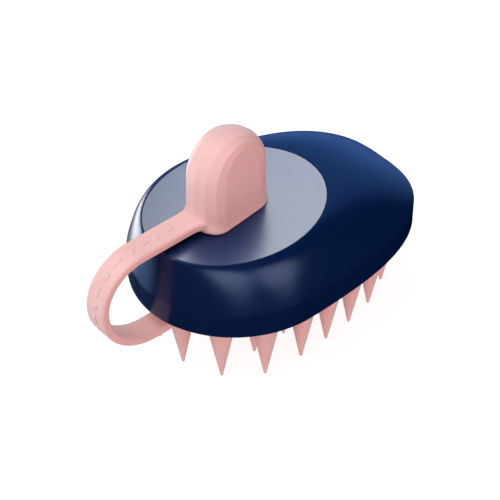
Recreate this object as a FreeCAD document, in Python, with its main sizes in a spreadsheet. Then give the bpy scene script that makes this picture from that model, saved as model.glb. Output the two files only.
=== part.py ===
import FreeCAD, Part
import math
import os
import Sketcher

from FreeCAD import Placement, Rotation, Vector

# Scalp massager brush: a hollow hard shell with a flat oval inlay on its crown, a silicone pad of
# cone bristles below it, and a silicone strap that loops from the pad round the front of the shell
# to a silicone grip knob, whose stem plugs into a socket in the crown.
# Frame: the origin is on the surface that the bristle tips stand on, under the middle of the
# overall box. +X runs to the tail, -X to the strap's loop, +Z up. Millimetres.

doc = FreeCAD.newDocument("ScalpMassagerBrush")
sheet = doc.addObject("Spreadsheet::Sheet", "Sizes")

SIZES = [
    # shell
    ("body_length", 95.0),
    ("body_width", 66.6),
    ("loop_reach", 19.8),        # how far the strap's loop stands in front of the shell
    ("front_length", 34.6),      # from the widest section to the front end
    ("front_power", 1.95),       # superellipse power of the front half, nearly round
    ("tail_power", 2.84),        # the tail half is blunter
    ("rim_z", 24.8),
    ("wall_top_z", 32.6),
    ("crown_z", 48.0),
    ("crown_length", 59.8),
    ("crown_width", 49.2),
    ("crown_x", -4.1),
    ("dome_fullness", 1.78),     # 1 is a straight cone, 2 arrives level at the crown
    ("dome_edge_softness", 0.012),
    ("wall", 2.4),
    ("roof_z", 44.0),
    ("cavity_wall_top_z", 31.6),
    # crown inlay
    ("inlay_land", 0.15),
    ("inlay_gap", 0.08),
    ("inlay_depth", 1.8),
    ("inlay_edge", 0.15),
    ("stem_hole_gap", 0.4),
    ("post_radius", 2.5),
    ("post_offset", 8.5),
    # pad and base plate
    ("pad_z", 22.6),
    ("pad_thickness", 3.0),
    ("skirt", 1.2),
    ("skirt_gap", 0.15),
    ("lip_width", 1.5),
    ("lip_height", 1.2),
    ("plate_height", 3.2),
    ("bristle_base_radius", 4.6),
    ("bristle_tip_radius", 0.45),
    # screws that close the shell
    ("boss_radius", 3.4),
    ("boss_front_x", -21.5),
    ("boss_tail_x", 36.0),
    ("boss_y", 14.5),
    ("boss_front_top", 44.6),
    ("boss_tail_top", 42.2),
    ("screw_radius", 1.1),
    ("screw_length", 12.0),
    ("screw_head_radius", 2.4),
    ("screw_head_height", 1.6),
    ("screw_slot", 0.7),         # width of the driving slot
    ("screw_tip_radius", 0.2),
    ("head_gap", 0.2),
    ("cut_spare", 1.0),          # how far a cutting solid reaches past what it cuts
    ("pilot_gap", 0.05),
    ("pilot_depth", 13.0),
    # grip knob and its plug
    ("knob_x", -6.7),
    ("knob_half_length", 13.1),
    ("knob_flat_half", 7.3),     # half length of a broad face
    ("knob_foot_width", 14.6),
    ("knob_top_width", 12.6),
    ("knob_taper", 0.17),        # share of the width lost from the middle to the tail end
    ("knob_gap", 0.3),
    ("knob_shoulder_z", 62.0),   # where the upright sides turn into the arch
    ("knob_flat_rise", 11.6),    # from the shoulder to the top of a broad face
    ("knob_top_z", 76.9),
    ("core_width", 6.0),
    ("core_skin", 5.2),
    ("core_drop", 4.6),          # the core's square top stays this much lower, under the arch
    ("stem_radius", 4.4),
    ("stem_slack", 0.15),
    ("stem_reach", 11.5),
    ("ring_wire_radius", 0.7),
    ("ring_drop", 5.0),
    ("bore_gap", 0.06),
    ("socket_wall", 1.8),
    ("socket_depth", 12.5),
    ("flange_radius", 11.8),
    ("flange_height", 1.6),
    ("small_screw_radius", 0.95),
    ("small_screw_length", 4.4),
    ("small_head_radius", 1.9),
    ("small_head_height", 1.3),
    ("small_slot", 0.5),
    ("thread_spare", 0.3),
    # strap
    ("strap_width", 8.2),
    ("strap_thickness", 2.8),
    ("strap_round", 0.7),
    ("strap_top_z", 51.1),
    ("upper_bend", 14.3),
    ("lower_bend", 18.3),
    ("strap_root_x", -26.5),
    ("strap_root_length", 6.5),
]
for row, (alias, value) in enumerate(SIZES, start=1):
    sheet.set("A%d" % row, alias)
    sheet.set("B%d" % row, "%g" % value)
    sheet.setAlias("B%d" % row, alias)
doc.recompute()


def size(alias):
    return float(getattr(sheet, alias))


def bind(target, path, formula):
    """Tie a property to the sheet; $ stands for the sheet's name in the formula."""
    target.setExpression(path, formula.replace("$", "Sizes."))


# ---------------------------------------------------------------- helpers

def plane_of(body, role):
    return next(f for f in body.Origin.OriginFeatures if f.Role == role)


def new_body(label):
    body = doc.addObject("PartDesign::Body", label.title().replace("_", ""))
    body.Label = label
    return body


def new_sketch(body, name, role="XY_Plane", height=None):
    sketch = body.newObject("Sketcher::SketchObject", name)
    sketch.AttachmentSupport = (plane_of(body, role), [""])
    sketch.MapMode = "FlatFace"
    if height:
        bind(sketch, "AttachmentOffset.Base.z", height)
    return sketch


def datum(sketch, kind, refs, formula, start=1.0):
    """A dimension that follows a formula; start is its value before the first recompute."""
    number = sketch.addConstraint(Sketcher.Constraint(kind, *refs, start))
    bind(sketch, "Constraints[%d]" % number, formula)


def add_circle(sketch, radius, x="0", y="0"):
    """A circle whose radius and centre follow formulas."""
    index = sketch.addGeometry(Part.Circle(Vector(1, 1, 0), Vector(0, 0, 1), 1.0), False)
    datum(sketch, "Radius", (index,), radius)
    datum(sketch, "DistanceX", (-1, 1, index, 3), x)
    datum(sketch, "DistanceY", (-1, 1, index, 3), y)


def add_ellipse(sketch, half_length, half_width, x="0"):
    """An ellipse along X, held by its two axis lines."""
    index = sketch.addGeometry(
        Part.Ellipse(Vector(3, 0, 0), Vector(0, 2, 0), Vector(0, 0, 0)), False)
    sketch.exposeInternalGeometry(index)
    major, minor = index + 1, index + 2
    sketch.addConstraint(Sketcher.Constraint("Horizontal", major))
    sketch.addConstraint(Sketcher.Constraint("PointOnObject", index, 3, -1))
    datum(sketch, "Distance", (major,), "2 * (%s)" % half_length, 6.0)
    datum(sketch, "Distance", (minor,), "2 * (%s)" % half_width, 4.0)
    datum(sketch, "DistanceX", (-1, 1, index, 3), x, 0.0)


def add_polygon(sketch, points):
    """A closed outline; each corner's coordinates follow a pair of formulas."""
    start = [Vector(3.0 * math.cos(2 * math.pi * k / len(points)),
                    3.0 * math.sin(2 * math.pi * k / len(points)), 0) for k in range(len(points))]
    for k in range(len(points)):
        sketch.addGeometry(Part.LineSegment(start[k], start[(k + 1) % len(points)]), False)
    for k in range(len(points)):
        sketch.addConstraint(
            Sketcher.Constraint("Coincident", k, 2, (k + 1) % len(points), 1))
    for k, (across, up) in enumerate(points):
        datum(sketch, "DistanceX", (-1, 1, k, 1), across, start[k].x)
        datum(sketch, "DistanceY", (-1, 1, k, 1), up, start[k].y)


def pad(body, sketch, length, name="Pad", **options):
    feature = body.newObject("PartDesign::Pad", name)
    feature.Profile = sketch
    for key, value in options.items():
        setattr(feature, key, value)
    bind(feature, "Length", length)
    return feature


def pocket(body, sketch, depth, name="Pocket", **options):
    """A pocket that is checked to remove material."""
    doc.recompute()
    before = body.Shape.Volume
    feature = body.newObject("PartDesign::Pocket", name)
    feature.Profile = sketch
    for key, value in options.items():
        setattr(feature, key, value)
    bind(feature, "Length", depth)
    doc.recompute()
    if body.Shape.Volume > before - 0.5:
        raise RuntimeError("%s cuts nothing in %s" % (name, body.Label))
    return feature


def revolution(body, sketch, name="Revolution"):
    feature = body.newObject("PartDesign::Revolution", name)
    feature.Profile = sketch
    feature.ReferenceAxis = (sketch, ["V_Axis"])
    feature.Angle = 360.0
    return feature


def dress(body, kind, name, edge_wanted, **formulas):
    """A fillet or chamfer along the body's edges that edge_wanted picks."""
    doc.recompute()
    base = body.Tip
    edges = ["Edge%d" % (k + 1) for k, edge in enumerate(base.Shape.Edges) if edge_wanted(edge)]
    feature = body.newObject("PartDesign::" + kind, name)
    feature.Base = (base, edges)
    for key, formula in formulas.items():
        bind(feature, key, formula)


def primitive(kind, name, x="0", y="0", z="0", **formulas):
    """A Part primitive whose sizes and place follow formulas."""
    solid = doc.addObject("Part::" + kind, name)
    for key, formula in formulas.items():
        bind(solid, key, formula)
    for axis, formula in (("x", x), ("y", y), ("z", z)):
        bind(solid, "Placement.Base." + axis, formula)
    return solid


def coded(label, shape):
    feature = doc.addObject("Part::Feature", label.title().replace("_", ""))
    feature.Label = label
    feature.Shape = shape
    return feature


def combine(kind, label, base, tool):
    result = doc.addObject("Part::" + kind, label.title().replace("_", ""))
    result.Label = label
    result.Base = base
    result.Tool = tool
    return result


def gather(kind, label, pieces):
    result = doc.addObject("Part::" + kind, label.title().replace("_", ""))
    result.Label = label
    if kind == "Compound":
        result.Links = pieces
    else:
        result.Shapes = pieces
    return result


# ---------------------------------------------------------------- outline of the shell

FRONT_X = (size("loop_reach") - size("body_length")) / 2.0
WIDEST_X = FRONT_X + size("front_length")
TAIL_X = FRONT_X + size("body_length")
OUTLINE_POINTS = 60
DOME_STEPS = (0.0, 0.006, 0.024, 0.053, 0.095, 0.148, 0.213, 0.29, 0.38, 0.47, 0.56, 0.65, 0.74,
              0.82, 0.89, 0.95, 1.0)


def rim_point(turn, inset=0.0):
    """Point of the shell's outline, moved inwards by inset, at a parameter angle."""
    c, s = math.cos(turn), math.sin(turn)
    power = size("front_power") if c < 0 else size("tail_power")
    reach = (WIDEST_X - FRONT_X if c < 0 else TAIL_X - WIDEST_X) - inset
    x = WIDEST_X + math.copysign(reach * abs(c) ** (2.0 / power), c)
    y = math.copysign((size("body_width") / 2.0 - inset) * abs(s) ** (2.0 / power), s)
    return x, y


def crown_point(x, y, inset=0.0):
    """Point of the crown's oval edge in the direction of x, y from its centre."""
    half_x = size("crown_length") / 2.0 - inset
    half_y = size("crown_width") / 2.0 - inset
    dx = x - size("crown_x")
    stretch = 1.0 / math.hypot(dx / half_x, y / half_y)
    return size("crown_x") + dx * stretch, y * stretch


def section(share, z, inset=0.0):
    """Closed outline a share of the way from the rim to the crown's edge."""
    points = []
    for k in range(OUTLINE_POINTS):
        x, y = rim_point(2.0 * math.pi * k / OUTLINE_POINTS, inset)
        u, v = crown_point(x, y, inset)
        points.append(Vector(x + share * (u - x), y + share * (v - y), z))
    curve = Part.BSplineCurve()
    curve.interpolate(Points=points, PeriodicFlag=True)
    return Part.Wire([curve.toShape()])


def rise(share):
    """Height of the dome at a share of the way in, from 0 at the wall to 1 at the crown."""
    soft = size("dome_edge_softness")
    way = math.sqrt(share * (share + 2.0 * soft)) / math.sqrt(1.0 + 2.0 * soft)
    full = size("dome_fullness")
    return way * (full - (full - 1.0) * way)


def prism(inset, low, high):
    return Part.Face(section(0.0, low, inset)).extrude(Vector(0, 0, high - low))


def domed(inset, low, wall_top, top):
    """Solid with an upright wall and a dome, under the crown's oval."""
    wires = [section(s, wall_top + (top - wall_top) * rise(s), inset) for s in DOME_STEPS]
    dome = Part.makeLoft(wires, True, False)
    return prism(inset, low, wall_top).fuse(dome).removeSplitter()


# ---------------------------------------------------------------- shell

skin = coded("shell_skin", domed(0.0, size("rim_z"), size("wall_top_z"), size("crown_z")))
cavity = coded("shell_cavity", domed(
    size("wall"), size("rim_z"), size("cavity_wall_top_z"), size("roof_z")))

hollow_shell = combine("Cut", "hollow_shell", skin, cavity)

BOSS_PLACES = [("$boss_%s_x" % end, side, "$boss_%s_top" % end)
               for end in ("front", "tail") for side in ("", "-")]
PLATE_TOP = "$pad_z + $pad_thickness + $plate_height"
bosses = [
    primitive("Cylinder", "Boss%d" % k, x, side + "$boss_y", PLATE_TOP,
              Radius="$boss_radius", Height="%s - (%s)" % (top, PLATE_TOP))
    for k, (x, side, top) in enumerate(BOSS_PLACES)
]
shell_with_bosses = gather("MultiFuse", "shell_with_bosses", [hollow_shell] + bosses)

pilots = [
    primitive("Cylinder", "Pilot%d" % k, x, side + "$boss_y", PLATE_TOP,
              Radius="$screw_radius + $pilot_gap", Height="$pilot_depth")
    for k, (x, side, top) in enumerate(BOSS_PLACES)
]
recess_body = new_body("inlay_recess")
recess_sketch = new_sketch(recess_body, "RecessSketch", height="$crown_z - $inlay_depth")
add_ellipse(recess_sketch, "$crown_length / 2 - $inlay_land", "$crown_width / 2 - $inlay_land",
            "$crown_x")
pad(recess_body, recess_sketch, "$inlay_depth + $cut_spare", "RecessPad")
ROOF_CUT_Z = "$roof_z - $cut_spare"
ROOF_CUT_HEIGHT = "$crown_z - $roof_z + 2 * $cut_spare"
stem_hole = primitive("Cylinder", "StemHole", "$knob_x", "0", ROOF_CUT_Z,
                      Radius="$stem_radius + $stem_hole_gap", Height=ROOF_CUT_HEIGHT)
post_holes = [
    primitive("Cylinder", "PostHole%d" % k, "$knob_x + %s$post_offset" % side, "0", ROOF_CUT_Z,
              Radius="$post_radius + $inlay_gap", Height=ROOF_CUT_HEIGHT)
    for k, side in enumerate(("", "-"))
]
shell_cuts = gather("MultiFuse", "shell_cuts", pilots + [recess_body, stem_hole] + post_holes)
shell = combine("Cut", "shell", shell_with_bosses, shell_cuts)

# ---------------------------------------------------------------- crown inlay

top_plate = new_body("top_plate")
inlay_sketch = new_sketch(top_plate, "InlaySketch", height="$crown_z - $inlay_depth")
add_ellipse(inlay_sketch, "$crown_length / 2 - $inlay_land - $inlay_gap",
            "$crown_width / 2 - $inlay_land - $inlay_gap", "$crown_x")
pad(top_plate, inlay_sketch, "$inlay_depth", "InlayPad")
post_sketch = new_sketch(top_plate, "PostSketch", height="$roof_z")
for side in ("", "-"):
    add_circle(post_sketch, "$post_radius", "$knob_x + %s$post_offset" % side)
pad(top_plate, post_sketch, "$crown_z - $inlay_depth / 2 - $roof_z", "PostPad")
stem_sketch = new_sketch(top_plate, "StemHoleSketch", height="$crown_z")
add_circle(stem_sketch, "$stem_radius + $stem_hole_gap", "$knob_x")
pocket(top_plate, stem_sketch, "$inlay_depth * 2", "StemHolePocket")
thread_sketch = new_sketch(top_plate, "ThreadSketch", height="$roof_z")
for side in ("", "-"):
    add_circle(thread_sketch, "$small_screw_radius + $pilot_gap",
               "$knob_x + %s$post_offset" % side)
THREAD_DEPTH = "$small_screw_length - $flange_height + $thread_spare"
pocket(top_plate, thread_sketch, THREAD_DEPTH, "ThreadPocket", Reversed=True)

RIM_EDGE_LENGTH = 60.0               # no other edge at the crown's height is this long


def is_inlay_rim(edge):
    at_crown = abs(edge.BoundBox.ZMin - size("crown_z")) < 1e-4
    return at_crown and edge.Length > RIM_EDGE_LENGTH


dress(top_plate, "Chamfer", "InlayChamfer", is_inlay_rim, Size="$inlay_edge")

# ---------------------------------------------------------------- socket under the crown

socket = new_body("socket")
socket_sketch = new_sketch(socket, "SocketSketch", "XZ_Plane")
BORE = "$stem_radius + $bore_gap"
add_polygon(socket_sketch, [
    (BORE, "$roof_z"),
    ("$flange_radius", "$roof_z"),
    ("$flange_radius", "$roof_z - $flange_height"),
    (BORE + " + $socket_wall", "$roof_z - $flange_height"),
    (BORE + " + $socket_wall", "$roof_z - $socket_depth - $socket_wall"),
    ("0", "$roof_z - $socket_depth - $socket_wall"),
    ("0", "$roof_z - $socket_depth"),
    (BORE, "$roof_z - $socket_depth"),
])
revolution(socket, socket_sketch)
flange_sketch = new_sketch(socket, "FlangeHoleSketch", height="$roof_z")
for side in ("", "-"):
    add_circle(flange_sketch, "$small_screw_radius + $pilot_gap", side + "$post_offset")
pocket(socket, flange_sketch, "$flange_height * 2", "FlangeHoles")
socket.Placement = Placement(Vector(size("knob_x"), 0, 0), Rotation())


# ---------------------------------------------------------------- screws

def screw(name, radius, length, head_radius, head_height, slot):
    """Pan head screw pointing up, with its head under z = 0 and a driving slot."""
    body = new_body(name)
    sketch = new_sketch(body, name.title().replace("_", "") + "Profile", "XZ_Plane")
    add_polygon(sketch, [
        ("0", "-(%s)" % head_height),
        (head_radius, "-(%s)" % head_height),
        (head_radius, "0"),
        (radius, "0"),
        (radius, "%s - %s" % (length, radius)),
        ("$screw_tip_radius", length),
        ("0", length),
    ])
    revolution(body, sketch, "Turned")
    groove = new_sketch(body, name.title().replace("_", "") + "Slot", "XY_Plane",
                        "-(%s)" % head_height)
    add_polygon(groove, [
        ("-(%s) - $cut_spare" % head_radius, "-%s / 2" % slot),
        ("%s + $cut_spare" % head_radius, "-%s / 2" % slot),
        ("%s + $cut_spare" % head_radius, "%s / 2" % slot),
        ("-(%s) - $cut_spare" % head_radius, "%s / 2" % slot),
    ])
    pocket(body, groove, "(%s) / 2" % head_height, "DrivingSlot", Reversed=True)
    return body


def copies(master, label, places):
    """Group of separate solids, one at each place."""
    links = []
    for k, place in enumerate(places):
        link = doc.addObject("App::Link", "%s%d" % (master.Name, k))
        link.LinkedObject = master
        link.Placement = Placement(place, Rotation())
        links.append(link)
    return gather("Compound", label, links)


SCREW_SEAT_Z = size("pad_z") + size("pad_thickness") + size("screw_head_height")
base_screw = screw("base_screw", "$screw_radius", "$screw_length", "$screw_head_radius",
                   "$screw_head_height", "$screw_slot")
base_screws = copies(base_screw, "base_screws", [
    Vector(x, side * size("boss_y"), SCREW_SEAT_Z)
    for x in (size("boss_front_x"), size("boss_tail_x")) for side in (1, -1)
])
socket_screw = screw("socket_screw", "$small_screw_radius", "$small_screw_length",
                     "$small_head_radius", "$small_head_height", "$small_slot")
socket_screws = copies(socket_screw, "socket_screws", [
    Vector(size("knob_x") + side * size("post_offset"), 0, size("roof_z") - size("flange_height"))
    for side in (1, -1)
])

# ---------------------------------------------------------------- base plate and pad

PAD_TOP = size("pad_z") + size("pad_thickness")
PAD_INSET = size("wall") + size("skirt_gap")
PLATE_INSET = PAD_INSET + size("skirt")
LIP_Z = PAD_TOP + size("plate_height")

plate_blank = coded("plate_blank", prism(PLATE_INSET, PAD_TOP, LIP_Z))
screw_holes = []
for k, (x, side, top) in enumerate(BOSS_PLACES):
    y = side + "$boss_y"
    screw_holes.append(primitive(
        "Cylinder", "Clearance%d" % k, x, y, "$pad_z",
        Radius="$screw_radius + $pilot_gap",
        Height="$pad_thickness + $plate_height + $cut_spare"))
    screw_holes.append(primitive(
        "Cylinder", "Counterbore%d" % k, x, y, "$pad_z + $pad_thickness - $cut_spare",
        Radius="$screw_head_radius + $head_gap",
        Height="$cut_spare + $screw_head_height"))
plate_holes = gather("MultiFuse", "plate_holes", screw_holes)
base_plate = combine("Cut", "base_plate", plate_blank, plate_holes)

pad_solid = prism(PAD_INSET, size("pad_z"), LIP_Z + size("lip_height"))
pad_solid = pad_solid.cut(prism(PLATE_INSET, PAD_TOP, LIP_Z))
pad_solid = pad_solid.cut(
    prism(PLATE_INSET + size("lip_width"), LIP_Z - size("cut_spare"),
          LIP_Z + size("lip_height") + size("cut_spare")))
bristle_pad = coded("bristle_pad", pad_solid)

# ---------------------------------------------------------------- bristles

FRONT_RINGS = (
    # radius, first angle, step, count; angles turn about the widest section's centre
    (25.6, 97.8, 30.0, 7),
    (15.7, 67.5, 45.0, 6),
    (5.6, 60.0, 120.0, 3),
)
OUTER_INSET = 8.1
OUTER_COLUMNS = (11.3, 10.45, 4)     # first x, pitch, count
MIDDLE_COLUMNS = (13.0, 10.3, 3)
MIDDLE_SHARE = 0.51                  # of the outer row's distance from the middle
CENTRE_COLUMNS = (8.8, 10.3, 4)
TAIL_TURN = 9.5                      # y of the tail's outer pair


def row_y(x, inset):
    """Half width of the tail half of the outline, moved inwards, at x."""
    reach = TAIL_X - WIDEST_X - inset
    half = size("body_width") / 2.0 - inset
    power = size("tail_power")
    return half * (1.0 - ((x - WIDEST_X) / reach) ** power) ** (1.0 / power)


def row_x(y, inset):
    """How far back the inset tail outline reaches at y."""
    reach = TAIL_X - WIDEST_X - inset
    half = size("body_width") / 2.0 - inset
    power = size("tail_power")
    return WIDEST_X + reach * (1.0 - (abs(y) / half) ** power) ** (1.0 / power)


def bristle_places():
    places = []
    for radius, first, step, count in FRONT_RINGS:
        for k in range(count):
            turn = math.radians(first + k * step)
            places.append((WIDEST_X + radius * math.cos(turn), radius * math.sin(turn)))
    for (first, pitch, count), share in ((OUTER_COLUMNS, 1.0), (MIDDLE_COLUMNS, MIDDLE_SHARE)):
        for k in range(count):
            x = first + k * pitch
            y = share * row_y(x, OUTER_INSET)
            places += [(x, y), (x, -y)]
    first, pitch, count = CENTRE_COLUMNS
    places += [(first + k * pitch, 0.0) for k in range(count)]
    places += [(row_x(y, OUTER_INSET), y) for y in (-TAIL_TURN, 0.0, TAIL_TURN)]
    return places


cones = []
for k, (x, y) in enumerate(bristle_places()):
    cone = primitive("Cone", "Bristle%d" % k, "%.3f" % x, "%.3f" % y, "0",
                     Radius1="$bristle_tip_radius", Radius2="$bristle_base_radius",
                     Height="$pad_z")
    cones.append(cone)
bristles = gather("Compound", "bristles", cones)

# ---------------------------------------------------------------- strap

STRAP_FRONT_X = -(size("body_length") + size("loop_reach")) / 2.0


def strap_line(offset):
    """Side line of the strap, offset outwards from its middle line, from knob to pad."""
    z_top = size("strap_top_z")
    middle_front = STRAP_FRONT_X + size("strap_thickness") / 2.0
    upper = size("upper_bend")
    lower = size("lower_bend")
    z_mid = z_top - upper
    cx_up, cx_low = middle_front + upper, middle_front + lower
    a, b = upper + offset, lower + offset
    knob_end = Vector(size("knob_x"), 0, z_top + offset)
    top = Vector(cx_up, 0, z_mid + a)
    front = Vector(cx_up - a, 0, z_mid)
    bottom = Vector(cx_low, 0, z_mid - b)
    root_end = Vector(size("strap_root_x"), 0, z_mid - b)
    diagonal = math.sqrt(0.5)
    return [
        Part.LineSegment(knob_end, top),
        Part.Arc(top, Vector(cx_up - a * diagonal, 0, z_mid + a * diagonal), front),
        Part.Arc(front, Vector(cx_low - b * diagonal, 0, z_mid - b * diagonal), bottom),
        Part.LineSegment(bottom, root_end),
    ], knob_end, root_end


ROOT_REACH = 8.0                     # how far from the strap's root a cone may touch it
KNOB_FACETS = 6                      # over the half turn between the knob's broad faces
KNOB_TURNS = [math.pi * k / KNOB_FACETS for k in range(KNOB_FACETS + 1)]


def strap_solid():
    half = size("strap_thickness") / 2.0
    outer, outer_knob, outer_root = strap_line(half)
    inner, inner_knob, inner_root = strap_line(-half)
    edges = [c.toShape() for c in outer + inner]
    edges.append(Part.LineSegment(outer_knob, inner_knob).toShape())
    edges.append(Part.LineSegment(outer_root, inner_root).toShape())
    profile = Part.Face(Part.Wire(Part.__sortEdges__(edges)))
    width = size("strap_width")
    profile.translate(Vector(0, -width / 2.0, 0))
    band = profile.extrude(Vector(0, width, 0))
    long_edges = [e for e in band.Edges
                  if abs(e.BoundBox.YMin - e.BoundBox.YMax) < 1e-6
                  and not e.BoundBox.XLength < 1e-6]
    band = band.makeFillet(size("strap_round"), long_edges)
    root_low = inner_root.z
    root = Part.makeBox(size("strap_root_length"), width,
                        size("pad_z") - root_low + size("strap_round"),
                        Vector(size("strap_root_x") - size("strap_root_length"), -width / 2.0,
                               root_low - size("strap_round")))
    solid = band.fuse(root)
    for x, y in bristle_places():
        if x < size("strap_root_x") + ROOT_REACH and abs(y) < width / 2.0 + ROOT_REACH:
            cone = Part.makeCone(size("bristle_tip_radius"), size("bristle_base_radius"),
                                 size("pad_z"), Vector(x, y, 0))
            solid = solid.cut(cone)
    return solid.cut(knob_prism(size("knob_gap"))).removeSplitter()


def knob_reach(turn):
    """Half length of the knob's arch at a turn from one broad face, 0, to the other, pi."""
    flat = size("knob_flat_half")
    return flat + (size("knob_half_length") - flat) * math.sin(turn)


def knob_half_width(x):
    """Half width of the knob's foot at a distance behind the knob's middle."""
    return size("knob_foot_width") / 2.0 * (1.0 - size("knob_taper") * x / size("knob_half_length"))


def knob_prism(grow):
    """Upright prism of the knob's foot, grown all round, through the strap's height."""
    low = size("crown_z")
    tail = [(knob_reach(turn), turn) for turn in KNOB_TURNS]
    plan = [(x + math.copysign(grow, x), -(knob_half_width(x) + grow) * math.cos(turn))
            for x, turn in tail + [(-x, turn) for x, turn in reversed(tail)]]
    corners = [Vector(size("knob_x") + x, y, low) for x, y in plan + plan[:1]]
    height = size("strap_top_z") + 2.0 * size("strap_thickness") - low
    return Part.Face(Part.makePolygon(corners)).extrude(Vector(0, 0, height))


strap = coded("strap", strap_solid())

# ---------------------------------------------------------------- knob

ARCH_STEPS = 14


def knob_arch(turn):
    """Closed upright wire round the knob at a turn; it leans in as the knob narrows upwards."""
    reach = knob_reach(turn)
    low, shoulder = size("crown_z") + size("knob_gap"), size("knob_shoulder_z")
    flat_rise, top = size("knob_flat_rise"), size("knob_top_z")
    rise_here = flat_rise + (top - shoulder - flat_rise) * math.sin(turn)
    lean = (size("knob_top_width") - size("knob_foot_width")) / 2.0 / (top - low)

    def point(x, z):
        return Vector(x, -(knob_half_width(x) + lean * (z - low)) * math.cos(turn), z)

    over = [point(-reach * math.cos(math.pi * k / ARCH_STEPS),
                  shoulder + rise_here * math.sin(math.pi * k / ARCH_STEPS))
            for k in range(ARCH_STEPS + 1)]
    upright = Vector(0, -lean * math.cos(turn), 1)
    bow = Part.BSplineCurve()
    bow.interpolate(Points=over, InitialTangent=upright, FinalTangent=-upright)
    feet = point(-reach, low), point(reach, low)
    return Part.Wire([Part.LineSegment(feet[0], over[0]).toShape(), bow.toShape(),
                      Part.LineSegment(over[-1], feet[1]).toShape(),
                      Part.LineSegment(feet[1], feet[0]).toShape()])


knob_skin = coded("knob_skin", Part.makeLoft([knob_arch(turn) for turn in KNOB_TURNS], True, True))
knob_skin.Placement = Placement(Vector(size("knob_x"), 0, 0), Rotation())
CORE_TOP = "$knob_top_z - $core_skin"
CORE_HEIGHT = "%s - $core_drop - $crown_z - $knob_gap" % CORE_TOP
core_room = primitive("Box", "CoreRoom", "$knob_x - $knob_half_length + $core_skin",
                      "-$core_width / 2", "$crown_z + $knob_gap",
                      Length="2 * ($knob_half_length - $core_skin)", Width="$core_width",
                      Height=CORE_HEIGHT)
knob = combine("Cut", "knob", knob_skin, core_room)

# ---------------------------------------------------------------- rigid core, stem and ring

knob_core = new_body("knob_core")
blade_sketch = new_sketch(knob_core, "BladeSketch", "XY_Plane", "$crown_z + $knob_gap")
add_polygon(blade_sketch, [
    ("-$knob_half_length + $core_skin", "-$core_width / 2"),
    ("$knob_half_length - $core_skin", "-$core_width / 2"),
    ("$knob_half_length - $core_skin", "$core_width / 2"),
    ("-$knob_half_length + $core_skin", "$core_width / 2"),
])
pad(knob_core, blade_sketch, CORE_HEIGHT, "Blade")
stem_profile = new_sketch(knob_core, "StemSketch", "XY_Plane", "$crown_z + $knob_gap")
add_circle(stem_profile, "$stem_radius - $stem_slack")
pad(knob_core, stem_profile, "$crown_z + $knob_gap - $roof_z + $stem_reach", "Stem",
    Reversed=True)
doc.recompute()
RING_Z = "$roof_z - $ring_drop"
groove_sketch = new_sketch(knob_core, "RingGrooveSketch", "XZ_Plane")
GROOVE_DEPTH = "$stem_radius - 2 * $ring_wire_radius"
add_polygon(groove_sketch, [
    (GROOVE_DEPTH, "%s - $ring_wire_radius" % RING_Z),
    ("$stem_radius + $thread_spare", "%s - $ring_wire_radius" % RING_Z),
    ("$stem_radius + $thread_spare", "%s + $ring_wire_radius" % RING_Z),
    (GROOVE_DEPTH, "%s + $ring_wire_radius" % RING_Z),
])
volume_before = knob_core.Shape.Volume
ring_groove = knob_core.newObject("PartDesign::Groove", "RingGroove")
ring_groove.Profile = groove_sketch
ring_groove.ReferenceAxis = (groove_sketch, ["V_Axis"])
ring_groove.Angle = 360.0
doc.recompute()
if knob_core.Shape.Volume > volume_before - 1.0:
    raise RuntimeError("the ring groove cuts nothing")
knob_core.Placement = Placement(Vector(size("knob_x"), 0, 0), Rotation())

stem_ring = primitive("Torus", "StemRing", "$knob_x", "0", RING_Z,
                      Radius1="$stem_radius - $ring_wire_radius", Radius2="$ring_wire_radius")
stem_ring.Label = "stem_ring"

# ---------------------------------------------------------------- check and write

doc.recompute()
PARTS = [shell, top_plate, socket, socket_screws, base_plate, base_screws, bristle_pad, bristles,
         strap, knob, knob_core, stem_ring]
for item in doc.Objects:
    if "Invalid" in item.State or "Error" in item.State:
        raise RuntimeError("%s failed: %s" % (item.Label, item.State))
os.makedirs("parts", exist_ok=True)
for item in PARTS:
    shape = item.Shape
    if shape.isNull() or not shape.isValid():
        raise RuntimeError("%s has no valid shape" % item.Label)
    shape.exportStep("parts/%s.step" % item.Label)
    box = shape.BoundBox
    print("%-14s solids %2d  volume %8.1f  x %6.1f %6.1f  y %6.1f %6.1f  z %6.1f %6.1f" % (
        item.Label, len(shape.Solids), shape.Volume, box.XMin, box.XMax, box.YMin, box.YMax,
        box.ZMin, box.ZMax))
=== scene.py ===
import math

import bmesh
import bpy
from mathutils import Matrix, Vector


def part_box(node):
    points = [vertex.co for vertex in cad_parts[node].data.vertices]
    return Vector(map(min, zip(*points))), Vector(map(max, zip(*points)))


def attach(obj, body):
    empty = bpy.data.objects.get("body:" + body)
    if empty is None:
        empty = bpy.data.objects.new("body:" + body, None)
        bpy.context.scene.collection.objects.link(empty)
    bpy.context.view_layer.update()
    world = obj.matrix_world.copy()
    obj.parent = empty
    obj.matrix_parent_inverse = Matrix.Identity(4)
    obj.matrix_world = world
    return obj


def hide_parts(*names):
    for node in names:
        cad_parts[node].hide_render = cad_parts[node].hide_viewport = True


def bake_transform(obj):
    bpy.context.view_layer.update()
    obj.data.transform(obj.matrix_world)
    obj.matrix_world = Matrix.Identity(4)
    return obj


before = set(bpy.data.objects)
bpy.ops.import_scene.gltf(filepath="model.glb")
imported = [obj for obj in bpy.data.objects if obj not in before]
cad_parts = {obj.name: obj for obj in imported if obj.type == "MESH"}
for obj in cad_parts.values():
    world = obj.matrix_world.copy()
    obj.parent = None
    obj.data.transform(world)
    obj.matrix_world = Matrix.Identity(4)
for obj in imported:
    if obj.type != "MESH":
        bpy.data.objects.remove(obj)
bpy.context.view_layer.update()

# Looks of the scalp massager brush. The hard parts are the imported CAD model's own, with new
# materials. The silicone parts are rebuilt here as fine meshes; knob, bristles and pad ride on its
# bodies.
# Metres, in the frame's own axes: +X runs to the tail, -X to the strap's loop, +Z up.

MM = 0.001

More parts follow.
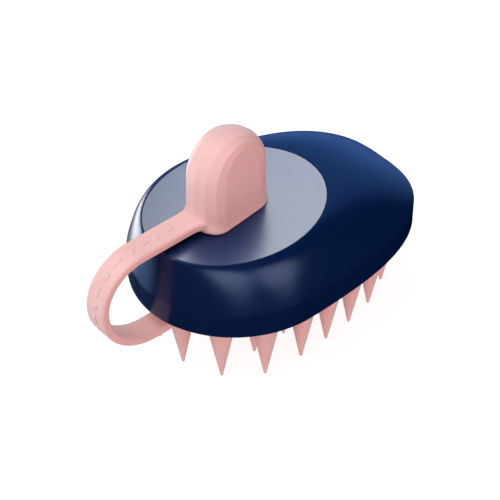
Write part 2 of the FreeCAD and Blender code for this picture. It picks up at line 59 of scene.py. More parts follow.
STRAP_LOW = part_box("strap")[0]
KNOB_LOW, KNOB_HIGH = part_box("knob")
PAD_LOW, PAD_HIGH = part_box("bristle_pad")


# ---------------------------------------------------------------- mesh helpers

def make_object(name, verts, faces):
    """Smooth-shaded object whose face normals all point outwards."""
    mesh = bpy.data.meshes.new(name)
    mesh.from_pydata([tuple(v) for v in verts], [], faces)
    mesh.update()
    bm = bmesh.new()
    bm.from_mesh(mesh)
    bmesh.ops.recalc_face_normals(bm, faces=bm.faces)
    bm.to_mesh(mesh)
    bm.free()
    for polygon in mesh.polygons:
        polygon.use_smooth = True
    piece = bpy.data.objects.new(name, mesh)
    bpy.context.scene.collection.objects.link(piece)
    return piece


def sharpen(piece, degrees):
    """Keeps edges crisp where faces turn by more than the angle."""
    bm = bmesh.new()
    bm.from_mesh(piece.data)
    limit = math.radians(degrees)
    for edge in bm.edges:
        edge.smooth = not (len(edge.link_faces) == 2 and edge.calc_face_angle() > limit)
    bm.to_mesh(piece.data)
    bm.free()


def bridge(first, second, closed=True):
    """Quads between two index loops of one length."""
    count = len(first)
    last = count if closed else count - 1
    return [(first[k], first[(k + 1) % count], second[(k + 1) % count], second[k])
            for k in range(last)]


def bridge_all(loops, closed=True):
    """Quads between each loop and the next."""
    return [quad for first, second in zip(loops, loops[1:])
            for quad in bridge(first, second, closed)]


def caps(loops):
    """The two end faces of a tube of loops."""
    return [tuple(loops[0]), tuple(reversed(loops[-1]))]


# ---------------------------------------------------------------- materials

def new_material(name):
    """A material with its nodes, its links and its main shader."""
    material = bpy.data.materials.new(name)
    material.use_nodes = True
    nodes = material.node_tree.nodes
    return material, nodes, material.node_tree.links, nodes["Principled BSDF"]


def object_noise(nodes, links, scale, detail=3.0, roughness=0.5, stretch=None):
    """Noise in the object's own coordinates, in cycles per metre."""
    place = nodes.new("ShaderNodeTexCoord")
    noise = nodes.new("ShaderNodeTexNoise")
    noise.inputs["Scale"].default_value = scale
    noise.inputs["Detail"].default_value = detail
    noise.inputs["Roughness"].default_value = roughness
    if stretch:
        mapping = nodes.new("ShaderNodeMapping")
        mapping.inputs["Scale"].default_value = stretch
        links.new(place.outputs["Object"], mapping.inputs["Vector"])
        links.new(mapping.outputs["Vector"], noise.inputs["Vector"])
    else:
        links.new(place.outputs["Object"], noise.inputs["Vector"])
    return noise.outputs["Fac"]


def ramp(nodes, links, factor, stops):
    """Colour that follows a factor through (position, colour) stops."""
    node = nodes.new("ShaderNodeValToRGB")
    elements = node.color_ramp.elements
    while len(elements) < len(stops):
        elements.new(0.5)
    for element, (position, colour) in zip(elements, stops):
        element.position = position
        element.color = (*colour, 1.0)
    links.new(factor, node.inputs["Fac"])
    return node.outputs["Color"]


NOISE_LOW, NOISE_HIGH = 0.3, 0.7     # where most of a noise's values lie


def spread(nodes, links, factor, low, high):
    """Noise stretched to run from low to high."""
    node = nodes.new("ShaderNodeMapRange")
    node.inputs["From Min"].default_value = NOISE_LOW
    node.inputs["From Max"].default_value = NOISE_HIGH
    node.inputs["To Min"].default_value = low
    node.inputs["To Max"].default_value = high
    links.new(factor, node.inputs["Value"])
    return node.outputs["Result"]


def bump(nodes, links, height, distance, strength, before=None):
    """Bumped normal, on top of the normal in before."""
    node = nodes.new("ShaderNodeBump")
    node.inputs["Strength"].default_value = strength
    node.inputs["Distance"].default_value = distance
    links.new(height, node.inputs["Height"])
    if before is not None:
        links.new(before, node.inputs["Normal"])
    return node.outputs["Normal"]


def silicone():
    """Soft pink silicone: a dusty, slightly translucent skin with faint mottling."""
    material, nodes, links, shader = new_material("silicone_pink")
    mottle = object_noise(nodes, links, 90.0, 4.0)
    links.new(ramp(nodes, links, mottle, [
        (NOISE_LOW, (0.735, 0.385, 0.365)),
        (0.5, (0.755, 0.402, 0.382)),
        (NOISE_HIGH, (0.775, 0.42, 0.40)),
    ]), shader.inputs["Base Color"])
    links.new(spread(nodes, links, object_noise(nodes, links, 260.0), 0.46, 0.58),
              shader.inputs["Roughness"])
    shader.inputs["Subsurface Weight"].default_value = 0.25
    shader.inputs["Subsurface Radius"].default_value = (1.0, 0.4, 0.3)
    shader.inputs["Subsurface Scale"].default_value = 1.2 * MM
    shader.inputs["Specular IOR Level"].default_value = 0.35
    shader.inputs["Sheen Weight"].default_value = 0.34
    shader.inputs["Sheen Roughness"].default_value = 0.5
    shader.inputs["Sheen Tint"].default_value = (1.0, 0.97, 0.96, 1.0)
    grain = bump(nodes, links, object_noise(nodes, links, 2600.0, 2.0), 0.02 * MM, 0.5)
    links.new(bump(nodes, links, object_noise(nodes, links, 220.0, 2.0), 0.05 * MM, 0.5, grain),
              shader.inputs["Normal"])
    return material


def navy_gloss():
    """Polished navy plastic with a very slight moulding waviness."""
    material, nodes, links, shader = new_material("navy_gloss")
    depth = object_noise(nodes, links, 40.0, 3.0)
    links.new(ramp(nodes, links, depth, [
        (NOISE_LOW, (0.0003, 0.0078, 0.044)), (NOISE_HIGH, (0.0004, 0.0088, 0.049)),
    ]), shader.inputs["Base Color"])
    links.new(spread(nodes, links, object_noise(nodes, links, 300.0), 0.22, 0.25),
              shader.inputs["Roughness"])
    shader.inputs["Specular IOR Level"].default_value = 0.5
    links.new(bump(nodes, links, object_noise(nodes, links, 160.0, 1.0), 0.006 * MM, 0.5),
              shader.inputs["Normal"])
    return material


def navy_inlay():
    """The crown inlay: a smooth navy face with a pearly sheen."""
    material, nodes, links, shader = new_material("navy_inlay")
    depth = object_noise(nodes, links, 60.0, 3.0)
    links.new(ramp(nodes, links, depth, [
        (NOISE_LOW, (0.0008, 0.0050, 0.026)), (NOISE_HIGH, (0.0010, 0.0058, 0.030)),
    ]), shader.inputs["Base Color"])
    links.new(spread(nodes, links, object_noise(nodes, links, 420.0), 0.29, 0.32),
              shader.inputs["Roughness"])
    shader.inputs["Specular IOR Level"].default_value = 0.25
    links.new(bump(nodes, links, object_noise(nodes, links, 120.0, 1.0), 0.003 * MM, 0.4),
              shader.inputs["Normal"])
    return material


def inner_plastic():
    """Pale satin plastic of the core, the socket and the base plate."""
    material, nodes, links, shader = new_material("inner_plastic")
    cloud = object_noise(nodes, links, 120.0, 4.0)
    links.new(ramp(nodes, links, cloud, [
        (NOISE_LOW, (0.50, 0.50, 0.51)), (NOISE_HIGH, (0.58, 0.58, 0.59)),
    ]), shader.inputs["Base Color"])
    links.new(spread(nodes, links, object_noise(nodes, links, 500.0), 0.5, 0.62),
              shader.inputs["Roughness"])
    links.new(bump(nodes, links, object_noise(nodes, links, 1500.0), 0.02 * MM, 0.6),
              shader.inputs["Normal"])
    return material


def seal_rubber():
    """Matt black rubber of the stem's ring."""
    material, nodes, links, shader = new_material("seal_rubber")
    cloud = object_noise(nodes, links, 300.0, 4.0)
    links.new(ramp(nodes, links, cloud, [
        (NOISE_LOW, (0.010, 0.010, 0.011)), (NOISE_HIGH, (0.018, 0.018, 0.020)),
    ]), shader.inputs["Base Color"])
    links.new(spread(nodes, links, object_noise(nodes, links, 900.0), 0.5, 0.65),
              shader.inputs["Roughness"])
    return material


def screw_steel():
    """Steel with fine lines drawn across the screw's axis."""
    material, nodes, links, shader = new_material("screw_steel")
    lines = object_noise(nodes, links, 900.0, 3.0, 0.6, (1.0, 1.0, 12.0))
    links.new(ramp(nodes, links, lines, [
        (NOISE_LOW, (0.48, 0.48, 0.50)), (NOISE_HIGH, (0.62, 0.62, 0.63)),
    ]), shader.inputs["Base Color"])
    links.new(spread(nodes, links, lines, 0.25, 0.4), shader.inputs["Roughness"])
    shader.inputs["Metallic"].default_value = 1.0
    return material


SILICONE = silicone()
NODE_MATERIALS = {
    "shell": navy_gloss(),
    "top_plate": navy_inlay(),
    "socket": inner_plastic(),
    "stem_ring": seal_rubber(),
    "base_screws": screw_steel(),
}
NODE_MATERIALS["base_plate"] = NODE_MATERIALS["knob_core"] = NODE_MATERIALS["socket"]
NODE_MATERIALS["socket_screws"] = NODE_MATERIALS["base_screws"]


def dress(piece, material):
    """Gives a piece one material."""
    piece.data.materials.clear()
    piece.data.materials.append(material)


for node, material in NODE_MATERIALS.items():
    dress(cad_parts[node], material)


def finish_silicone(piece, body, *nodes):
    """Silicone on a piece that rides on the body, if one is given, and stands for the nodes."""
    dress(piece, SILICONE)
    if nodes:
        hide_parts(*nodes)
    if body:
        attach(piece, body)


# ---------------------------------------------------------------- knob

KNOB_X = (KNOB_LOW.x + KNOB_HIGH.x) / 2.0
KNOB_FACETS = 6                      # over the half turn from one broad face to the other
KNOB_FLAT = 7.3 * MM                 # half length of a broad face
KNOB_HALF_LENGTH = (KNOB_HIGH.x - KNOB_LOW.x) / 2.0
KNOB_FOOT_Y = 7.3 * MM
KNOB_TOP_Y = 6.3 * MM
KNOB_TAPER = 0.17                    # share of the half width lost towards the tail end
KNOB_SHOULDER = 62.0 * MM
KNOB_FLAT_RISE = 11.6 * MM
KNOB_EDGE = 0.03                     # rounding of the facets' edges, as a share of the profile
EDGE_GUARD = 1.6                     # where a facet turns flat again, in roundings from its corner
BROAD_REACH = 0.5                    # a point this far in along a broad face gives its line
FACET_STEPS = 5                      # along each facet, so that the lip below it can be round
FOOT_LIP = 0.25 * MM
LIP_SWELL = 2.2                      # how much taller and wider the lip grows towards the strap
LIP_SHARE = 0.99                     # the lip's round outline beside the facets' corners
LIP_ROWS = [                         # height in mm, share of the lip's width
    (0.0, 0.5), (0.12, 0.9), (0.3, 1.0), (0.6, 0.85), (0.9, 0.4), (1.2, 0.1),
]
LIP_CLEAR = 1.6 * MM                 # the facets start at this height above the foot
UPRIGHT_STEPS = 6
ARCH_STEPS = 56
KNOB_CREASE = 50.0                   # degrees; sharper edges stay crisp


def knob_profile():
    """(reach, side) shares from one broad face to the other, with each corner rounded."""
    corners = [Vector((math.sin(math.pi * k / KNOB_FACETS), math.cos(math.pi * k / KNOB_FACETS)))
               for k in range(KNOB_FACETS + 1)]
    corners = [Vector((-BROAD_REACH, 1.0))] + corners + [Vector((-BROAD_REACH, -1.0))]
    profile = []
    for before, corner, after in zip(corners, corners[1:], corners[2:]):
        back = (before - corner).normalized() * KNOB_EDGE
        ahead = (after - corner).normalized() * KNOB_EDGE
        if profile:
            across = corner + back * EDGE_GUARD - profile[-1]
            profile += [profile[-1] + across * k / FACET_STEPS for k in range(1, FACET_STEPS)]
        middle = corner * 0.5 + (corner + back) * 0.25 + (corner + ahead) * 0.25
        profile += [corner + back * EDGE_GUARD, corner + back, middle,
                    corner + ahead, corner + ahead * EDGE_GUARD]
    return profile


def knob_arch(reach_share, side_share):
    """Points over the knob from its left foot to its right foot."""
    foot, top = KNOB_LOW.z, KNOB_HIGH.z
    reach = KNOB_FLAT + (KNOB_HALF_LENGTH - KNOB_FLAT) * reach_share
    climb = KNOB_FLAT_RISE + (top - KNOB_SHOULDER - KNOB_FLAT_RISE) * reach_share

    def point(x, z, lip=0.0, side=side_share):
        y = (KNOB_FOOT_Y * (1.0 - KNOB_TAPER * x / KNOB_HALF_LENGTH)
             + (KNOB_TOP_Y - KNOB_FOOT_Y) * (z - foot) / (top - foot))
        grow = 1.0 + lip / KNOB_FOOT_Y
        return Vector((KNOB_X + x * (1.0 + lip / KNOB_HALF_LENGTH), -y * side * grow, z))

    def lip_point(end, z, lip):
        """On the round lip under the facets."""
        even = LIP_SHARE / math.hypot(reach_share, side_share) if reach_share > 0.0 else 1.0
        lip_reach = KNOB_FLAT + (KNOB_HALF_LENGTH - KNOB_FLAT) * reach_share * even
        return point(end * lip_reach, z, lip, side_share * even)

    def upright(end, swell):
        """From the foot to the shoulder on the end nearer the strap, -1, or the tail, 1."""
        above = foot + LIP_CLEAR * swell
        side_rows = [above + (KNOB_SHOULDER - above) * k / UPRIGHT_STEPS
                     for k in range(UPRIGHT_STEPS)]
        return ([lip_point(end, foot + up * swell * MM, FOOT_LIP * out * swell)
                 for up, out in LIP_ROWS]
                + [point(end * reach, z) for z in side_rows])

    points = upright(-1.0, 1.0 + LIP_SWELL * max(0.0, reach_share))
    for k in range(ARCH_STEPS + 1):
        turn = math.pi * k / ARCH_STEPS
        points.append(point(-reach * math.cos(turn), KNOB_SHOULDER + climb * math.sin(turn)))
    return points + upright(1.0, 1.0)[::-1]


def build_knob():
    """The arch: strips over the facets, closed by the two broad faces and the foot."""
    loops, verts, faces = [], [], []
    for reach_share, side_share in knob_profile():
        points = knob_arch(reach_share, side_share)
        loops.append(list(range(len(verts), len(verts) + len(points))))
        verts += points
    faces += bridge_all(loops, closed=False)
    for loop in (loops[0], loops[-1]):   # strips across each broad face
        half = len(loop) // 2
        across = list(zip(loop[:half], reversed(loop)))
        faces += [(a, b, d, c) for (a, c), (b, d) in zip(across, across[1:])]
        faces.append((loop[half - 1], loop[half], loop[half + 1]))
    faces.append(tuple([loop[0] for loop in loops] + [loop[-1] for loop in reversed(loops)]))
    knob = make_object("knob_grip", verts, faces)
    sharpen(knob, KNOB_CREASE)
    return knob


knob = build_knob()
finish_silicone(knob, "knob_assembly", "knob")

# ---------------------------------------------------------------- strap

STRAP_WIDTH = 8.2 * MM
STRAP_THICKNESS = 2.8 * MM
STRAP_ROUND = 0.85 * MM
UPPER_BEND = 14.3 * MM
LOWER_BEND = 18.3 * MM
STRAP_TOP_Z = 51.1 * MM
STRAP_END_X = KNOB_LOW.x + 3.0 * MM
STRAP_ROOT_X = STRAP_LOW.x + 30.9 * MM
ROOT_LENGTH = 6.5 * MM
FLARE_LENGTH = 7.0 * MM              # the strap spreads over this length at the knob's foot
FLARE_WIDTH = 3.0 * MM
FLARE_FLAT = 2.6 * MM                # half width that stays level while the edges drop
FLARE_DROP = 1.6 * MM
FLARE_POWER = 1.5                    # how steeply the edges drop
FLARE_SINK = 0.4 * MM                # how far the whole strap sinks at the knob
STRAP_STEPS = 150
ROOT_ROWS = [                        # share of the way up to the pad, flare in mm
    (0.0, -0.4), (0.0, 0.0), (0.5, 0.0), (0.8, 0.12), (0.93, 0.35), (1.0, 0.7), (1.06, 0.7),
]


def strap_path():
    """Stretches of the strap's middle line, from the knob to the pad."""
    front = STRAP_LOW.x + STRAP_THICKNESS / 2.0
    middle_z = STRAP_TOP_Z - UPPER_BEND
    upper = Vector((front + UPPER_BEND, 0, middle_z))
    lower = Vector((front + LOWER_BEND, 0, middle_z))
    quarter = math.pi / 2.0
    return [
        ("run", Vector((STRAP_END_X, 0, STRAP_TOP_Z)), Vector((upper.x, 0, STRAP_TOP_Z))),
        ("bend", upper, UPPER_BEND, quarter, 2.0 * quarter),
        ("bend", lower, LOWER_BEND, 2.0 * quarter, 3.0 * quarter),
        ("run", Vector((lower.x, 0, middle_z - LOWER_BEND)),
         Vector((STRAP_ROOT_X, 0, middle_z - LOWER_BEND))),
    ]


def stretch_length(stretch):
    """Length of a straight run or of a bend."""
    if stretch[0] == "run":
        return (stretch[2] - stretch[1]).length
    return stretch[2] * abs(stretch[4] - stretch[3])


PATH = strap_path()
PATH_LENGTH = sum(stretch_length(s) for s in PATH)


def strap_frame(distance):
    """Point and outward normal of the strap's middle line, at a distance from the knob."""
    for stretch in PATH:
        length = stretch_length(stretch)
        if distance <= length or stretch is PATH[-1]:
            break
        distance -= length
    if stretch[0] == "run":
        forward = (stretch[2] - stretch[1]).normalized()
        point = stretch[1] + forward * distance
    else:
        _, centre, radius, start, end = stretch
        turn = start + distance / radius
        point = centre + Vector((math.cos(turn), 0, math.sin(turn))) * radius
        forward = Vector((-math.sin(turn), 0, math.cos(turn)))
    return point, Vector((forward.z, 0, -forward.x))


def section_points(width, thickness, rounding, corner_steps=5, flat_steps=8):
    """Rounded rectangle as (across, out) pairs, counter-clockwise."""
    points = []
    for cx, cy, start in ((1, 1, 0.0), (-1, 1, 0.5), (-1, -1, 1.0), (1, -1, 1.5)):
        for k in range(corner_steps + 1):
            turn = math.pi * (start + 0.5 * k / corner_steps)
            points.append((cx * (width / 2.0 - rounding) + rounding * math.cos(turn),
                           cy * (thickness / 2.0 - rounding) + rounding * math.sin(turn)))
        if cx == cy:                 # a broad side follows
            for k in range(1, flat_steps):
                points.append((cx * (width / 2.0 - rounding) * (1.0 - 2.0 * k / flat_steps),
                               cy * thickness / 2.0))
    return points


def add_root(verts, faces):
    """The foot that joins the strap's hidden end to the pad, flared where it meets the pad."""
    low = PATH[-1][2].z
    middle_x = STRAP_ROOT_X - ROOT_LENGTH / 2.0
    loops = []
    for share, flare in ROOT_ROWS:
        z = low + (PAD_LOW.z - low) * share
        grow = 2.0 * flare * MM
        loop = []
        for across, along in section_points(STRAP_WIDTH + grow, ROOT_LENGTH + grow, STRAP_ROUND):
            loop.append(len(verts))
            verts.append(Vector((middle_x + along, across, z)))
        loops.append(loop)
    faces += bridge_all(loops) + caps(loops)


def build_strap():
    """The band, flared into the knob's foot, with its root."""
    verts, faces, loops = [], [], []
    for k in range(STRAP_STEPS + 1):
        distance = PATH_LENGTH * k / STRAP_STEPS
        point, outward = strap_frame(distance)
        near_knob = max(0.0, 1.0 - distance / FLARE_LENGTH) ** 2
        width = STRAP_WIDTH + FLARE_WIDTH * near_knob
        loop = []
        for across, out in section_points(width, STRAP_THICKNESS, STRAP_ROUND):
            beside = max(0.0, abs(across) - FLARE_FLAT) / (STRAP_WIDTH / 2.0)
            drop = FLARE_DROP * near_knob * beside ** FLARE_POWER
            drop += FLARE_SINK * near_knob
            loop.append(len(verts))
            verts.append(point + Vector((0, across, 0)) + outward * (out - drop))
        loops.append(loop)
    faces += bridge_all(loops) + caps(loops)
    add_root(verts, faces)
    return make_object("strap_band", verts, faces)


MARK_COUNT = 10
MARK_FIRST = 12.5 * MM               # along the strap from the knob
MARK_PITCH = 4.6 * MM
MARK_POINTS = 20
DOT_RADIUS = 1.15 * MM
BAR_HALF_LENGTH = 1.75 * MM
BAR_RADIUS = 0.6 * MM
MARK_ROWS = [(1.0, -0.1), (1.0, 0.08), (0.86, 0.17), (0.5, 0.2)]   # share of the outline, mm up


def dot_outline():
    """Closed (along, across) outline of a round mark."""
    turns = [2.0 * math.pi * k / MARK_POINTS for k in range(MARK_POINTS)]
    return [(DOT_RADIUS * math.cos(turn), DOT_RADIUS * math.sin(turn)) for turn in turns]


def bar_outline():
    """Closed (along, across) outline of a bar with round ends."""
    turns = [2.0 * math.pi * (k + 0.5) / MARK_POINTS for k in range(MARK_POINTS)]
    return [(math.copysign(BAR_HALF_LENGTH - BAR_RADIUS, math.cos(turn))
             + BAR_RADIUS * math.cos(turn), BAR_RADIUS * math.sin(turn)) for turn in turns]


def build_marks():
    """A row of raised dots and bars along the strap's outer face."""
    verts, faces = [], []
    for k in range(MARK_COUNT):
        centre = MARK_FIRST + k * MARK_PITCH
        outline = dot_outline() if k % 2 else bar_outline()
        rings = []
        for share, height in MARK_ROWS:
            ring = []
            for along, across in outline:
                point, outward = strap_frame(centre + along * share)
                ring.append(len(verts))
                verts.append(point + Vector((0, across * share, 0))
                             + outward * (STRAP_THICKNESS / 2.0 + height * MM))
            rings.append(ring)
        faces += bridge_all(rings) + caps(rings[::-1])
    return make_object("strap_marks", verts, faces)


strap = build_strap()
finish_silicone(strap, None, "strap")
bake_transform(strap)
marks = build_marks()
finish_silicone(marks, None)
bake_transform(marks)

# ---------------------------------------------------------------- bristles

BRISTLE_TIP = 0.45 * MM
BRISTLE_BASE = 4.6 * MM
TIP_LEVEL = 0.01 * MM                # points this near the lowest one lie on a tip
TIP_REACH = 2.5 * BRISTLE_TIP        # points this near each other lie on the same tip
BRISTLE_POINTS = 36                  # round a cone
TIP_STEPS = 5
CONE_SLIMMING = 0.985                # leaves room for the fillet at the foot
CONE_SHARES = (0.1, 0.25, 0.45, 0.65, 0.85, 0.93)
FOOT_ROWS = [(-0.02, -0.5), (0.16, -0.2), (0.45, 0.03), (0.45, 0.3)]   # mm out, mm above the pad


def bristle_centres():
    """Where the frame's cones stand: the middle of each cone's tip."""
    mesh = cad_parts["bristles"].data
    lowest = min(v.co.z for v in mesh.vertices)
    tips = [v.co.copy() for v in mesh.vertices if v.co.z < lowest + TIP_LEVEL]
    groups = []
    for tip in tips:
        for group in groups:
            if (group[0].xy - tip.xy).length < TIP_REACH:
                group.append(tip)
                break
        else:
            groups.append([tip])
    centres = []
    for group in groups:
        low = Vector((min(t.x for t in group), min(t.y for t in group)))
        high = Vector((max(t.x for t in group), max(t.y for t in group)))
        centres.append((low + high) / 2.0)
    return sorted(centres, key=lambda c: (round(c.x, 5), round(c.y, 5)))


def bristle_profile():
    """(radius, height) from the rounded tip to the flared foot."""
    top = PAD_LOW.z
    profile = []
    for k in range(1, TIP_STEPS + 1):
        turn = 0.5 * math.pi * k / TIP_STEPS
        profile.append((BRISTLE_TIP * math.sin(turn), BRISTLE_TIP * (1.0 - math.cos(turn))))
    slope = (BRISTLE_BASE - BRISTLE_TIP) / (top - BRISTLE_TIP)
    for share in CONE_SHARES:
        z = BRISTLE_TIP + share * (top - BRISTLE_TIP)
        profile.append((BRISTLE_TIP + slope * (z - BRISTLE_TIP) * CONE_SLIMMING, z))
    return profile + [(BRISTLE_BASE + out * MM, top + up * MM) for out, up in FOOT_ROWS]


def build_bristles():
    """A cone on each of the frame's bristles, all in one mesh."""
    verts, faces = [], []
    profile = bristle_profile()
    for centre in bristle_centres():
        tip = len(verts)
        verts.append(Vector((centre.x, centre.y, 0.0)))
        rings = []
        for radius, z in profile:
            ring = []
            for k in range(BRISTLE_POINTS):
                turn = 2.0 * math.pi * k / BRISTLE_POINTS
                ring.append(len(verts))
                verts.append(Vector((centre.x + radius * math.cos(turn),
                                     centre.y + radius * math.sin(turn), z)))
            rings.append(ring)
        faces += [(tip, rings[0][(k + 1) % BRISTLE_POINTS], rings[0][k])
                  for k in range(BRISTLE_POINTS)]
        faces += bridge_all(rings)
        faces.append(tuple(rings[-1]))
    return make_object("bristle_cones", verts, faces)


bristle_cones = build_bristles()
finish_silicone(bristle_cones, "root", "bristles")

# ---------------------------------------------------------------- pad

SHELL_WIDEST_X = -3.0 * MM
FRONT_POWER, TAIL_POWER = 1.95, 2.84
PAD_THICKNESS = 3.0 * MM
PAD_TOP = PAD_LOW.z + PAD_THICKNESS
PAD_SKIRT = 1.2 * MM
LIP_WIDTH = 1.5 * MM
LIP_HEIGHT = 1.2 * MM
LIP_Z = PAD_HIGH.z - LIP_HEIGHT
PAD_ROUND = 0.3 * MM
PAD_EDGE = (0.1 * MM, 0.08 * MM)     # in and down, the middle of the top edge's rounding
BEAD_ROWS = [                        # mm in from the outline, mm above the floor
    (3.4, 0.0), (2.9, -0.1), (2.5, -0.45), (2.0, -0.62), (1.5, -0.6), (0.8, -0.35), (0.3, 0.1),
    (0.05, 0.6), (0.0, 1.2),
]
FLOOR_INSET = 12.0 * MM              # the pad's flat faces start this far in
RIM_POINTS = 220
RIM_SAMPLES = 4000
PAD_CREASE = 40.0                    # degrees; sharper edges stay crisp


def outline(inset):
    """Even points round the pad's outline, moved inwards."""
    front = SHELL_WIDEST_X - PAD_LOW.x - inset
    tail = PAD_HIGH.x - SHELL_WIDEST_X - inset
    half = (PAD_HIGH.y - PAD_LOW.y) / 2.0 - inset
    dense = []
    for k in range(RIM_SAMPLES):
        turn = 2.0 * math.pi * k / RIM_SAMPLES
        c, s = math.cos(turn), math.sin(turn)
        power, reach = (FRONT_POWER, front) if c < 0 else (TAIL_POWER, tail)
        dense.append(Vector((SHELL_WIDEST_X + math.copysign(reach * abs(c) ** (2.0 / power), c),
                             math.copysign(half * abs(s) ** (2.0 / power), s))))
    lengths = [0.0]
    for a, b in zip(dense, dense[1:] + dense[:1]):
        lengths.append(lengths[-1] + (b - a).length)
    even, at = [], 0
    for k in range(RIM_POINTS):
        wanted = lengths[-1] * k / RIM_POINTS
        while lengths[at + 1] < wanted:
            at += 1
        share = (wanted - lengths[at]) / (lengths[at + 1] - lengths[at])
        even.append(dense[at].lerp(dense[(at + 1) % len(dense)], share))
    return even


def build_pad():
    """A stretched silicone skin: a floor with a raised border bead, a skirt and an inner lip."""
    lip_inset = PAD_SKIRT + LIP_WIDTH
    top = PAD_HIGH.z
    bead = [(inset * MM, PAD_LOW.z + up * MM) for inset, up in BEAD_ROWS]
    inside = [(0.0, top - PAD_ROUND), (PAD_EDGE[0], top - PAD_EDGE[1]), (PAD_ROUND, top),
              (lip_inset - PAD_ROUND, top), (lip_inset, top - PAD_ROUND), (lip_inset, LIP_Z),
              (PAD_SKIRT, LIP_Z), (PAD_SKIRT, PAD_TOP), (FLOOR_INSET, PAD_TOP)]
    verts, loops = [], []
    for inset, z in [(FLOOR_INSET, PAD_LOW.z)] + bead + inside:
        loops.append(list(range(len(verts), len(verts) + RIM_POINTS)))
        verts += [(p.x, p.y, z) for p in outline(inset)]
    skin = make_object("pad_skin", verts, bridge_all(loops) + caps(loops))
    sharpen(skin, PAD_CREASE)
    return skin


pad_skin = build_pad()
finish_silicone(pad_skin, "root", "bristle_pad")

# ---------------------------------------------------------------- camera, stage, light

CAMERA_TURN = math.radians(-41.0)
CAMERA_RISE = math.radians(42.75)
CAMERA_DISTANCE = 555.4 * MM
CAMERA_TARGET = Vector((0.69, -1.30, 27.33)) * MM
CAMERA_LENS = 131.1                  # millimetres, on a film 36 mm wide
FILM_WIDTH = 36.0
LAMP_TARGET = Vector((0.0, 0.0, 40.0)) * MM
FLOOR_REACH = 2.0


def look_from(direction, target, distance):
    """Placement that looks at a target from a direction."""
    place = target + direction.normalized() * distance
    return Matrix.Translation(place) @ direction.to_track_quat("Z", "Y").to_matrix().to_4x4()


def sky_direction(turn, rise):
    """Direction at a turn from -Y, anticlockwise seen from above, and a rise."""
    return Vector((math.sin(turn) * math.cos(rise), -math.cos(turn) * math.cos(rise),
                   math.sin(rise)))


camera_data = bpy.data.cameras.new("camera")
camera_data.lens = CAMERA_LENS
camera_data.sensor_width = FILM_WIDTH
camera = bpy.data.objects.new("camera", camera_data)
bpy.context.scene.collection.objects.link(camera)
camera.matrix_world = look_from(sky_direction(CAMERA_TURN, CAMERA_RISE), CAMERA_TARGET,
                                CAMERA_DISTANCE)
bpy.context.scene.camera = camera


def softbox(name, turn, rise, distance, size, power, colour, mirrored=False):
    """A lamp aimed at the brush; turn is measured like the camera's, and mirrored is for gloss."""
    data = bpy.data.lights.new(name, "AREA")
    data.shape = "RECTANGLE"
    data.size, data.size_y = size
    data.energy = power
    data.color = colour
    lamp = bpy.data.objects.new(name, data)
    bpy.context.scene.collection.objects.link(lamp)
    direction = sky_direction(math.radians(turn), math.radians(rise))
    lamp.matrix_world = look_from(direction, LAMP_TARGET, distance)
    lamp.visible_camera = False
    lamp.visible_glossy = mirrored
    return lamp


softbox("key_left", -124.0, 54.0, 0.9, (0.80, 0.80), 5.9, (0.72, 1.0, 1.03), mirrored=True)
softbox("front_fill", 8.0, 14.0, 0.9, (0.50, 0.30), 3.1, (1.0, 0.76, 0.75))
softbox("back_left", 160.0, 35.0, 0.9, (0.30, 0.30), 0.6, (1.0, 1.0, 1.0))

# This lamp lights only the crown inlay, which is far paler than the dome round it.
crown_light = softbox("crown_light", 112.0, 62.0, 0.5, (0.50, 0.50), 13.3, (0.96, 0.99, 0.95),
                      mirrored=True)
crown_only = bpy.data.collections.new("crown_only")
crown_only.objects.link(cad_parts["top_plate"])
crown_light.light_linking.receiver_collection = crown_only

floor_corners = [(x * FLOOR_REACH, y * FLOOR_REACH, 0.0)
                 for x, y in ((-1, -1), (1, -1), (1, 1), (-1, 1))]
floor = make_object("floor", floor_corners, [(0, 1, 2, 3)])
floor.visible_glossy = False
floor.visible_diffuse = False
floor_material, _, _, floor_shader = new_material("floor_pale")
floor_shader.inputs["Base Color"].default_value = (0.24, 0.24, 0.24, 1.0)
floor_shader.inputs["Roughness"].default_value = 0.9
floor_shader.inputs["Emission Color"].default_value = (1.0, 1.0, 1.0, 1.0)
floor_shader.inputs["Emission Strength"].default_value = 0.86
dress(floor, floor_material)

world = bpy.data.worlds.new("studio")
bpy.context.scene.world = world
world.use_nodes = True
sky_nodes, sky_links = world.node_tree.nodes, world.node_tree.links
sky_place = sky_nodes.new("ShaderNodeTexCoord")


def sky_share(turn, rise, inner, outer):
    """1 within inner degrees of a direction, easing to 0 at outer degrees."""
    dot = sky_nodes.new("ShaderNodeVectorMath")
    dot.operation = "DOT_PRODUCT"
    dot.inputs[1].default_value = sky_direction(math.radians(turn), math.radians(rise))
    sky_links.new(sky_place.outputs["Generated"], dot.inputs[0])
    ease = sky_nodes.new("ShaderNodeMapRange")
    ease.interpolation_type = "SMOOTHERSTEP"
    ease.inputs["From Min"].default_value = math.cos(math.radians(outer))
    ease.inputs["From Max"].default_value = math.cos(math.radians(inner))
    sky_links.new(dot.outputs["Value"], ease.inputs["Value"])
    return ease.outputs["Result"]


def sky_scaled(share, colour):
    """A colour times a share of it."""
    scale = sky_nodes.new("ShaderNodeVectorMath")
    scale.operation = "SCALE"
    scale.inputs[0].default_value = colour
    sky_links.new(share, scale.inputs["Scale"])
    return scale.outputs["Vector"]


def sky_sum(parts):
    """The sum of several colours."""
    total = parts[0]
    for part in parts[1:]:
        add = sky_nodes.new("ShaderNodeVectorMath")
        sky_links.new(total, add.inputs[0])
        sky_links.new(part, add.inputs[1])
        total = add.outputs["Vector"]
    return total


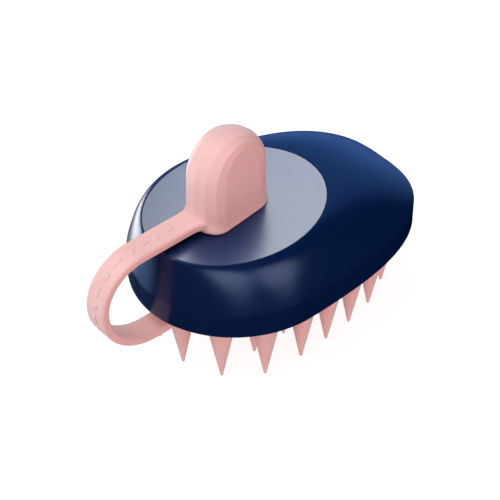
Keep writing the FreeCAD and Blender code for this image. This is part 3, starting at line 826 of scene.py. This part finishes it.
# Both lists give a turn, a rise, the angles at which the light begins and ends to fade, and its
# radiance. AROUND is what matt surfaces receive: more from the left, above and below.
AROUND = [(-100.0, 15.0, 0.0, 125.0, (0.52, 0.565, 0.57)),
          (-60.0, 80.0, 0.0, 75.0, (0.31, 0.32, 0.32)),
          (0.0, -90.0, 0.0, 110.0, (0.46, 0.43, 0.425)),
          (0.0, 90.0, 179.0, 180.0, (0.23, 0.215, 0.21))]
# PANELS is what the gloss mirrors: a black studio with soft panels.
PANELS = [
    (130.0, 15.0, 14.0, 53.0, (0.14, 0.345, 0.97)),
    (-36.0, 12.0, 2.0, 26.0, (1.8, 2.35, 3.2)),
    (7.0, 14.0, 1.0, 25.0, (1.7, 2.1, 2.9)),
    (-176.0, -16.0, 9.0, 25.0, (5.0, 5.1, 5.6)),
    (-146.0, -20.0, 4.0, 26.0, (0.45, 0.75, 1.4)),
]


def sky_background(panels):
    """Background shader with all the panels in it."""
    shader = sky_nodes.new("ShaderNodeBackground")
    sky_links.new(sky_sum([sky_scaled(sky_share(*p[:4]), p[4]) for p in panels]),
                  shader.inputs["Color"])
    return shader.outputs["Background"]


# Gloss sees the panels, the camera sees plain white, and all else sees the light all round.
world.cycles.sampling_method = "NONE"
sky_ray = sky_nodes.new("ShaderNodeLightPath")
sky_mix = sky_nodes.new("ShaderNodeMixShader")
sky_links.new(sky_ray.outputs["Is Glossy Ray"], sky_mix.inputs["Fac"])
sky_links.new(sky_background(AROUND), sky_mix.inputs[1])
sky_links.new(sky_background(PANELS), sky_mix.inputs[2])
sky_seen = sky_nodes.new("ShaderNodeMixShader")
sky_links.new(sky_ray.outputs["Is Camera Ray"], sky_seen.inputs["Fac"])
sky_links.new(sky_mix.outputs["Shader"], sky_seen.inputs[1])
sky_nodes["Background"].inputs["Color"].default_value = (1.0, 1.0, 1.0, 1.0)
sky_links.new(sky_nodes["Background"].outputs["Background"], sky_seen.inputs[2])
sky_links.new(sky_seen.outputs["Shader"], sky_nodes["World Output"].inputs["Surface"])

bpy.context.scene.view_settings.view_transform = "Standard"
